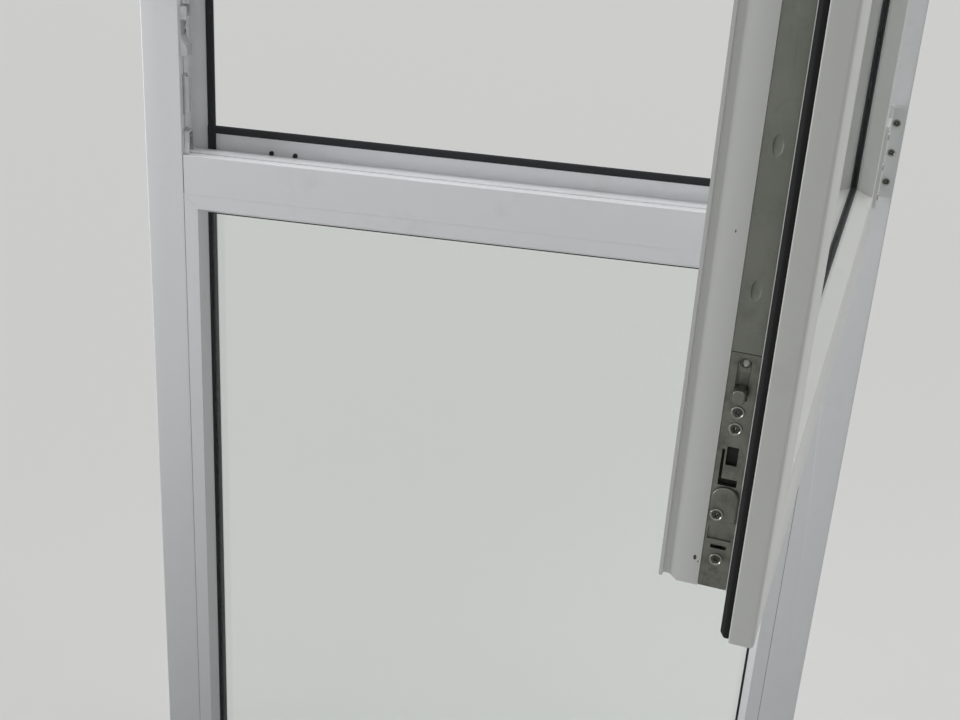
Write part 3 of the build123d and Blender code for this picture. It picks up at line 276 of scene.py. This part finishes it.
def pick_faces(piece, wanted):
    """Opens a piece in edit mode with only the faces selected that a test wants."""
    if piece.mode == "EDIT":
        bpy.ops.object.mode_set(mode="OBJECT")
    only(piece)
    bpy.ops.object.mode_set(mode="EDIT")
    bpy.ops.mesh.select_mode(type="FACE")
    bpy.ops.mesh.select_all(action="DESELECT")
    bpy.ops.object.mode_set(mode="OBJECT")
    for face in piece.data.polygons:
        face.select = wanted(face)
    bpy.ops.object.mode_set(mode="EDIT")


def settle(piece):
    """Leaves edit mode and puts a piece's place into its mesh."""
    if piece.mode == "EDIT":
        bpy.ops.object.mode_set(mode="OBJECT")
    piece.data.transform(piece.matrix_basis)
    piece.matrix_basis = Matrix.Identity(4)


def smooth(piece, degrees):
    """Shades a piece smooth over its edges, apart from those that turn by more than this."""
    only(piece)
    bpy.ops.object.shade_smooth_by_angle(angle=math.radians(degrees))


def carve(piece, cutter):
    """Cuts one piece out of another and throws the cutter away."""
    only(piece)
    cut = piece.modifiers.new("cut", "BOOLEAN")
    cut.operation = "DIFFERENCE"
    cut.object = cutter
    bpy.ops.object.modifier_apply(modifier=cut.name)
    bpy.data.objects.remove(cutter)


def merge_selected(nearer_mm):
    """Merges the selected triangles: corners nearer than this become one, and flat faces become whole."""
    bpy.ops.mesh.remove_doubles(threshold=nearer_mm * MM)
    bpy.ops.mesh.dissolve_limited(angle_limit=math.radians(0.5))


def merged_copy(name, suffix):
    """A copy of a CAD node with its loose triangles merged into whole faces."""
    piece = bpy.data.objects.new(f"{name}_{suffix}", nodes[name].data.copy())
    bpy.context.collection.objects.link(piece)
    only(piece)
    bpy.ops.object.mode_set(mode="EDIT")
    bpy.ops.mesh.select_all(action="SELECT")
    merge_selected(nearer_mm=0.01)
    bpy.ops.object.mode_set(mode="OBJECT")
    return piece


def eased(name, width_mm, segments=2, piece=None):
    """The CAD node's own shape with its sharp edges eased, as extruding, rolling or casting leaves them.

    The shading is smooth over turns of up to 20 degrees: with more, a large face would be shaded as if it
    leant towards its eased edge.
    """
    piece = piece or merged_copy(name, "eased")
    only(piece)
    ease = piece.modifiers.new("eased_edges", "BEVEL")
    ease.width = width_mm * MM
    ease.segments = segments
    ease.limit_method = "ANGLE"
    ease.angle_limit = math.radians(25.0)
    bpy.ops.object.modifier_apply(modifier=ease.name)
    smooth(piece, 20)
    stands_for(piece, name)


# How far each kind of piece is eased, in millimetres: profiles, pressed drive parts, cast keeps, hinges
# with the drain caps, and the gaskets that stay as pressed
for width_mm, names in (
        (0.5, ("outer_frame", "transom", "sash_frame")),
        (0.2, drive_parts),
        (0.45, ("lock_keeps", "corner_keep", "lifter_ramp")),
        (0.4, ("hinge_brackets", "hinge_leaves", "drain_caps")),
        (0.35, ("upper_rebate_gasket", "lower_outer_gasket", "lower_inner_gasket", "sash_outer_gasket",
                "sash_inner_gasket"))):
    for name in names:
        eased(name, width_mm)


def block(sizes_mm, place_mm):
    """A plain block at its size and place, to be shaped further."""
    bpy.ops.object.select_all(action="DESELECT")
    bpy.ops.mesh.primitive_cube_add(size=1)
    made = bpy.context.object
    made.scale = metres(*sizes_mm)
    made.location = metres(*place_mm)
    settle(made)
    return made


def swung_egg(sizes_mm, place_mm, segments, rings):
    """An egg-shaped cutter or lens, placed with the sash closed and then swung open with it."""
    bpy.ops.object.select_all(action="DESELECT")
    bpy.ops.mesh.primitive_uv_sphere_add(segments=segments, ring_count=rings, radius=0.5)
    made = bpy.context.object
    made.scale = metres(*sizes_mm)
    made.location = metres(*place_mm)
    settle(made)
    made.data.transform(SWUNG_OPEN)
    return made


def pressed_faceplate():
    """The lock's long faceplate as the press leaves it.

    The CAD's round pockets are filled flush, the hole that has no screw is closed, and long dimples are
    sunk at their own pitch. The low smoothing angle keeps the flat face evenly lit round them.
    """
    pocket_depth, just_behind, unused_hole, hole_reach = 0.5, 0.2, 300.0, 4.5
    dimples, first_dimple, dimple_pitch = 11, 183.5, 77.8
    dimple_sizes, dimple_proud = (3.0, 6.6, 14.0), 0.8
    plate = merged_copy("gear_faceplate", "pressed")
    plate.data.transform(SWUNG_OPEN.inverted())
    pocket_floor = (PLATE_FACE + just_behind) * MM
    pick_faces(plate, lambda face: face.normal.x < -0.9 and face.center.x > pocket_floor)
    bpy.ops.transform.translate(value=metres(-pocket_depth, 0, 0))
    bpy.ops.mesh.select_all(action="SELECT")
    merge_selected(nearer_mm=0.02)
    hole_height = (SASH_BOTTOM + unused_hole) * MM
    pick_faces(plate, lambda face: abs(face.normal.x) < 0.9 and
               math.hypot(face.center.y - GROOVE_Y * MM, face.center.z - hole_height) < hole_reach * MM)
    bpy.ops.mesh.delete(type="FACE")
    bpy.ops.mesh.select_all(action="SELECT")
    bpy.ops.mesh.fill_holes(sides=0)
    bpy.ops.mesh.select_all(action="SELECT")
    bpy.ops.mesh.normals_make_consistent(inside=False)
    settle(plate)
    plate.data.transform(SWUNG_OPEN)
    eased("gear_faceplate", 0.15, piece=plate)
    for count in range(dimples):
        height = SASH_BOTTOM + first_dimple + dimple_pitch * count
        place = (PLATE_FACE - dimple_proud, GROOVE_Y, height)
        carve(plate, swung_egg(dimple_sizes, place, segments=64, rings=40))
    smooth(plate, 9)


def dimpled_rail():
    """The lock rail with a bowl at the top of the corner drive's slot, its faces in the screws' paler metal
    as a painted highlight.
    """
    bowl_sizes, bowl_place = (3.8, 6.0, 6.0), (PLATE_FACE + 2.5, GROOVE_Y, SASH_BOTTOM + 141.0)
    highlight_reach = 3.1
    rail = merged_copy("lock_rail", "dimpled")
    carve(rail, swung_egg(bowl_sizes, bowl_place, segments=32, rings=20))
    rail.data.materials.clear()
    for surface in (plated_steel, plated_screw):
        rail.data.materials.append(surface)
    centre = SWUNG_OPEN @ metres(*bowl_place)
    flat = SWUNG_OPEN.to_3x3() @ Vector((1, 0, 0))
    # The bowl's faces take the paler metal: a painted highlight
    for face in rail.data.polygons:
        if (face.center - centre).length < highlight_reach * MM and abs(face.normal.dot(flat)) < 0.999:
            face.material_index = 1
    rail["own_surfaces"] = 1
    smooth(rail, 32)
    stands_for(rail, "lock_rail")


def relaxed_gasket():
    """The sash's gasket as it stands with the sash open: higher than when it is pressed shut.

    As the sash shuts it is flattened to the height that the CAD gives it. The push runs along the sash's
    depth, so its axis stands at the same 81 degrees as SWUNG_OPEN.
    """
    pressed_height, free_height, just_above = 4.3, 5.4, 0.05
    seal = merged_copy("sash_gasket", "relaxed")
    seal.data.transform(SWUNG_OPEN.inverted())
    for point in seal.data.vertices:
        if point.co.y > (FLANGE_FACE + just_above) * MM:
            above = point.co.y - FLANGE_FACE * MM
            point.co.y = FLANGE_FACE * MM + above * free_height / pressed_height
    seal.data.transform(SWUNG_OPEN)
    eased("sash_gasket", 0.5, segments=3, piece=seal)
    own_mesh(seal)


pressed_faceplate()
dimpled_rail()
relaxed_gasket()


def joint_line(name, side, low, high, width):
    """The dust that settles in an upright joint: a thin dark fillet pressed into the seam."""
    seam_y, depth, front_share = -29.5, 1.1, 0.6
    fillet = block((width, depth, high - low), (side * (LIGHT_EDGE - width / 2), seam_y, (low + high) / 2))
    fillet.name = name
    pick_faces(fillet, lambda face: face.normal.y < -0.9)
    bpy.ops.transform.resize(value=(front_share, 1, 1))
    settle(fillet)
    fillet.data.materials.append(joint_dust)
    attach(fillet, "frame")


for side, hand in ((-1, "left"), (1, "right")):
    joint_line(f"transom_joint_{hand}", side, low=830.5, high=872.4, width=0.80)
    joint_line(f"bead_joint_{hand}", side, low=42.0, high=829.0, width=0.55)


def painted_drive_shade():
    """A dark tray with a raised rim behind the corner drive's windows: painted shade for its dark inside."""
    sizes, rim_width, rim_height = (0.8, 13.6, 27.5), 0.5, 0.4
    behind_plate, off_middle, windows_middle = 3.2, 0.2, 78.75
    tray = block(sizes, (PLATE_FACE + behind_plate, GROOVE_Y + off_middle, SASH_BOTTOM + windows_middle))
    tray.name = "corner_drive_painted_shade"
    pick_faces(tray, lambda face: face.normal.x < -0.9)
    bpy.ops.mesh.inset(thickness=rim_width * MM)
    bpy.ops.transform.translate(value=metres(rim_height, 0, 0))
    settle(tray)
    tray.data.transform(SWUNG_OPEN)
    # The tray is painted dark as painted shade
    tray.data.materials.append(dark_hole_shade)
    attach(tray, "sash")


painted_drive_shade()


def edge_scuff(number, y, height, width, length):
    """A small dent with dirt in it on the sash's white edge: a thin lens pressed into the face."""
    thickness, sunk = 0.5, 0.1
    scuff = swung_egg((thickness, width, length), (SASH_EDGE + sunk, y, SASH_BOTTOM + height),
                      segments=24, rings=16)
    scuff.name = f"edge_scuff_{number}"
    smooth(scuff, 40)
    scuff.data.materials.append(joint_dust)
    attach(scuff, "sash")


edge_scuff(0, y=-7.4, height=17.9, width=2.0, length=3.6)
edge_scuff(1, y=-9.4, height=15.6, width=0.8, length=1.2)
edge_scuff(2, y=-4.4, height=214.0, width=0.7, length=1.9)


def drain_shade(x):
    """A dark plug a little way down a drain hole in the transom: painted shade."""
    radius, thickness, rim_width, dish_depth = 2.78, 1.2, 0.8, 0.4
    mouth_y, mouth_z, way_down = 13.0, 871.2, 3.2
    bpy.ops.object.select_all(action="DESELECT")
    bpy.ops.mesh.primitive_cylinder_add(vertices=32, radius=radius * MM, depth=thickness * MM)
    plug = bpy.context.object
    plug.name = f"drain_shade_{'left' if x < 0 else 'right'}_{abs(x):.0f}"
    pick_faces(plug, lambda face: face.normal.z > 0.9)
    bpy.ops.mesh.inset(thickness=rim_width * MM)
    bpy.ops.transform.translate(value=metres(0, 0, -dish_depth))
    settle(plug)
    out_of_hole = Vector((0, -1, 0.6))
    mouth = Vector((x, mouth_y, mouth_z)) * MM
    plug.data.transform(Matrix.Translation(mouth - out_of_hole.normalized() * way_down * MM)
                        @ out_of_hole.to_track_quat("Z", "Y").to_matrix().to_4x4())
    # The plug is painted dark as painted shade in the hole
    plug.data.materials.append(dark_hole_shade)
    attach(plug, "frame")


drain_inset, drain_pitch = 82.5, 26.0
outer_drain = LIGHT_EDGE - drain_inset
inner_drain = outer_drain - drain_pitch
for x in (-outer_drain, -inner_drain, inner_drain, outer_drain):
    drain_shade(x)


def cross_screw(radius, height, recess, shank, length):
    """A screw along Z with its head's seat at 0: a dished head with a rolled rim and a cross recess.

    The first three values below are shares of the head's height, and the next three of its radius. The
    arms of the cross have a width that is a share of the recess, and shrink by the taper towards their foot.
    """
    rim_round, dish_depth, arm_height = 0.4, 0.45, 3.0
    rim_width, dish_wall, shade_reach = 0.12, 0.10, 0.52
    arm_width, arm_taper = 0.42, (0.45, 0.5, 1)
    bpy.ops.object.select_all(action="DESELECT")
    bpy.ops.mesh.primitive_cylinder_add(vertices=32, radius=radius * MM, depth=height * MM,
                                        location=(0, 0, height * MM / 2))
    screw = bpy.context.object
    settle(screw)
    pick_faces(screw, lambda face: face.normal.z > 0.9)
    bpy.ops.mesh.bevel(offset=rim_round * height * MM, segments=3)
    pick_faces(screw, lambda face: face.normal.z > 0.99 and face.center.z > 0.99 * height * MM)
    bpy.ops.mesh.inset(thickness=rim_width * radius * MM)
    bpy.ops.mesh.inset(thickness=dish_wall * radius * MM)
    bpy.ops.transform.translate(value=(0, 0, -dish_depth * height * MM))
    pick_faces(screw, lambda face: face.normal.z < -0.9)
    bpy.ops.mesh.inset(thickness=(radius - shank) * MM)
    bpy.ops.mesh.extrude_region_move(TRANSFORM_OT_translate={"value": (0, 0, -length * MM)})
    settle(screw)
    for arm_angle in (45, 135):
        arm = block((recess * 2, recess * arm_width, arm_height * height), (0, 0, height))
        pick_faces(arm, lambda face: face.normal.z < -0.9)
        bpy.ops.transform.resize(value=arm_taper)
        settle(arm)
        arm.data.transform(Matrix.Rotation(math.radians(arm_angle), 4, "Z"))
        carve(screw, arm)
    for surface in (plated_screw, screw_recess_shade):
        screw.data.materials.append(surface)
    # The dish and the cross take the dark metal: painted shade in the recess
    for face in screw.data.polygons:
        if face.center.z > 0 and math.hypot(face.center.x, face.center.y) < shade_reach * radius * MM:
            face.material_index = 1
    smooth(screw, 35)
    return screw


def drive_screws(name, pattern, seats, outward, hung=False, row="row"):
    """Copies a screw to each seat (mm, sash closed) with its head outward, and joins them as one piece.

    Hung screws are swung open with the sash, and no two crosses next to each other stop at the same turn.
    """
    turn_between = 37
    facing = Vector(outward).to_track_quat("Z", "Y").to_matrix().to_4x4()
    swing = SWUNG_OPEN if hung else Matrix.Identity(4)
    copies = []
    for number, seat in enumerate(seats):
        spun = Matrix.Rotation(math.radians(turn_between * number), 4, "Z")
        one = bpy.data.objects.new(f"{name}_{number}", pattern.data.copy())
        one.data.transform(swing @ Matrix.Translation(Vector(seat) * MM) @ facing @ spun)
        bpy.context.collection.objects.link(one)
        copies.append(one)
    bpy.ops.object.select_all(action="DESELECT")
    for one in copies:
        one.select_set(True)
    bpy.context.view_layer.objects.active = copies[0]
    bpy.ops.object.join()
    joined = bpy.context.object
    joined.name = f"{name}_{row}"
    joined["own_surfaces"] = 1
    stands_for(joined, name)


groove_screw = cross_screw(radius=3.8, height=0.9, recess=2.2, shank=1.9, length=12.0)
sunk_screw = cross_screw(radius=3.4, height=0.25, recess=1.7, shank=1.9, length=12.0)
keep_screw = cross_screw(radius=2.6, height=0.9, recess=1.4, shank=1.6, length=12.0)
rosette_screw = cross_screw(radius=4.4, height=1.0, recess=2.2, shank=2.4, length=12.0)

# The lock's screws in the sash's groove: the corner drive's and the lifter's, then the long faceplate's
lifter_seat = (PLATE_FACE - 2.0, -16.1, SASH_BOTTOM + LIFTER_SCREW)
drive_screws("hardware_screws", groove_screw,
             [(PLATE_FACE, GROOVE_Y, SASH_BOTTOM + height) for height in CORNER_SCREWS] + [lifter_seat],
             TO_LEFT, hung=True)
drive_screws("hardware_screws", sunk_screw,
             [(PLATE_FACE, GROOVE_Y, SASH_BOTTOM + height) for height in GEAR_SCREWS], TO_LEFT,
             hung=True, row="upper")

# The left jamb's: two in the lifter's ramp, one in the corner keep and two in each lock keep
ramp_screws, corner_keep_seat = (918.9, 953.1), (KEEP_FACE, -21.25, 880.0)
keep_below_cam, keep_screw_insets = 32.4, (22.5, 31.0)
lock_keep_seats = [(KEEP_FACE, KEEP_Y, SASH_BOTTOM + cam - keep_below_cam + inset)
                   for cam in CAM_HEIGHTS for inset in keep_screw_insets]
drive_screws("keep_screws", keep_screw,
             [(KEEP_FACE, KEEP_Y, z) for z in ramp_screws] + [corner_keep_seat] + lock_keep_seats, TO_RIGHT)

# Three in each hinge leaf on the sash and in each bracket on the frame
hinge_screw_pitch, leaf_row, bracket_row = 29, (320.0, -52.1), (371.0, -33.0)
hinge_screws = [middle + hinge_screw_pitch * step for middle in HINGE_MIDDLES for step in (-1, 0, 1)]
drive_screws("leaf_screws", groove_screw, [(*leaf_row, z) for z in hinge_screws], TO_ROOM, hung=True)
drive_screws("bracket_screws", groove_screw, [(*bracket_row, z) for z in hinge_screws], TO_ROOM)

# One below and one above the handle's spindle, in its rosette
rosette_face, rosette_reach = -57.1, 21.5
drive_screws("rosette_screws", rosette_screw,
             [(HANDLE_X, rosette_face, HANDLE_Z + rosette_reach * step) for step in (-1, 1)],
             TO_ROOM, hung=True)
for pattern in (groove_screw, sunk_screw, keep_screw, rosette_screw):
    bpy.data.objects.remove(pattern)

# The room's floor
bpy.ops.object.select_all(action="DESELECT")
bpy.ops.mesh.primitive_plane_add(size=24, location=(0, 0, 0))
floor = bpy.context.object
floor.name = "studio_floor"
floor_paint = bpy.data.materials.new("pale_studio_paint")
floor_paint.use_nodes = True
floor_shader = floor_paint.node_tree.nodes["Principled BSDF"]
floor_shader.inputs["Base Color"].default_value = linear("#D8D8D6")
floor_shader.inputs["Roughness"].default_value = 0.8
floor.data.materials.append(floor_paint)

# The studio round it: a low even light on the window, and a pale backdrop that the eye, metal and glass see
world = bpy.data.worlds.new("studio")
bpy.context.scene.world = world
world.use_nodes = True
studio = world.node_tree
even_light = studio.nodes["Background"]
even_light.inputs["Color"].default_value = linear("#F0F2F4")
even_light.inputs["Strength"].default_value = 0.20
backdrop = add_node(studio, "ShaderNodeBackground", {"Color": linear("#E6E7E8"), "Strength": 0.95})
rays = add_node(studio, "ShaderNodeLightPath").outputs
mirrored = add_node(studio, "ShaderNodeMath", None,
                    {0: rays["Is Glossy Ray"], 1: rays["Is Transmission Ray"]}, operation="MAXIMUM")
shown = add_node(studio, "ShaderNodeMath", None,
                 {0: rays["Is Camera Ray"], 1: mirrored.outputs["Value"]}, operation="MAXIMUM")
blend = add_node(studio, "ShaderNodeMixShader", None,
                 {0: shown.outputs["Value"], 1: even_light.outputs["Background"],
                  2: backdrop.outputs["Background"]})
studio.links.new(blend.outputs["Shader"], studio.nodes["World Output"].inputs["Surface"])


def hang_lamp(name, kind, place, target, power, size, colour="#FFFFFF"):
    """A lamp that points at a target: a sun (size in degrees), or a square softbox (size in metres).

    The softbox has a grid that keeps its light on the window and off the floor.
    """
    grid_spread = 50
    lamp = bpy.data.lights.new(name, kind)
    lamp.energy = power
    lamp.color = linear(colour)[:3]
    if kind == "SUN":
        lamp.angle = math.radians(size)
    else:
        lamp.shape = "SQUARE"
        lamp.size = size
        lamp.spread = math.radians(grid_spread)
    stand = bpy.data.objects.new(name, lamp)
    bpy.context.collection.objects.link(stand)
    stand.location = place
    stand.rotation_euler = (Vector(target) - Vector(place)).to_track_quat("-Z", "Y").to_euler()


hang_lamp("daylight_outside", "SUN", place=(0.4, 0.7, 3.6), target=(0, 0, 0.6), power=2.15, size=50)
hang_lamp("room_fill", "AREA", place=(-2.2, -0.5, 1.1), target=(0, -0.03, 1.0), power=5.0, size=1.0,
          colour="#FBFCFF")

# The camera, turned by its yaw and pitch, and then rolled about the way it looks
forward = Vector((-math.sin(CAMERA_YAW) * math.cos(CAMERA_PITCH),
                  math.cos(CAMERA_YAW) * math.cos(CAMERA_PITCH), -math.sin(CAMERA_PITCH)))
level = Vector((math.cos(CAMERA_YAW), math.sin(CAMERA_YAW), 0.0))
down = forward.cross(level)
right = math.cos(CAMERA_ROLL) * level + math.sin(CAMERA_ROLL) * down
down = -math.sin(CAMERA_ROLL) * level + math.cos(CAMERA_ROLL) * down
lens = bpy.data.cameras.new("photograph_view")
lens.sensor_width = SENSOR_WIDTH
lens.lens = FOCAL_PIXELS / IMAGE_WIDTH * SENSOR_WIDTH
lens.clip_start = NEAR_CLIP
camera = bpy.data.objects.new("photograph_view", lens)
bpy.context.collection.objects.link(camera)
looking = Matrix((right, -down, -forward)).transposed()
camera.matrix_world = Matrix.Translation(CAMERA_PLACE) @ looking.to_4x4()
bpy.context.scene.camera = camera
bpy.context.scene.view_settings.view_transform = "Standard"
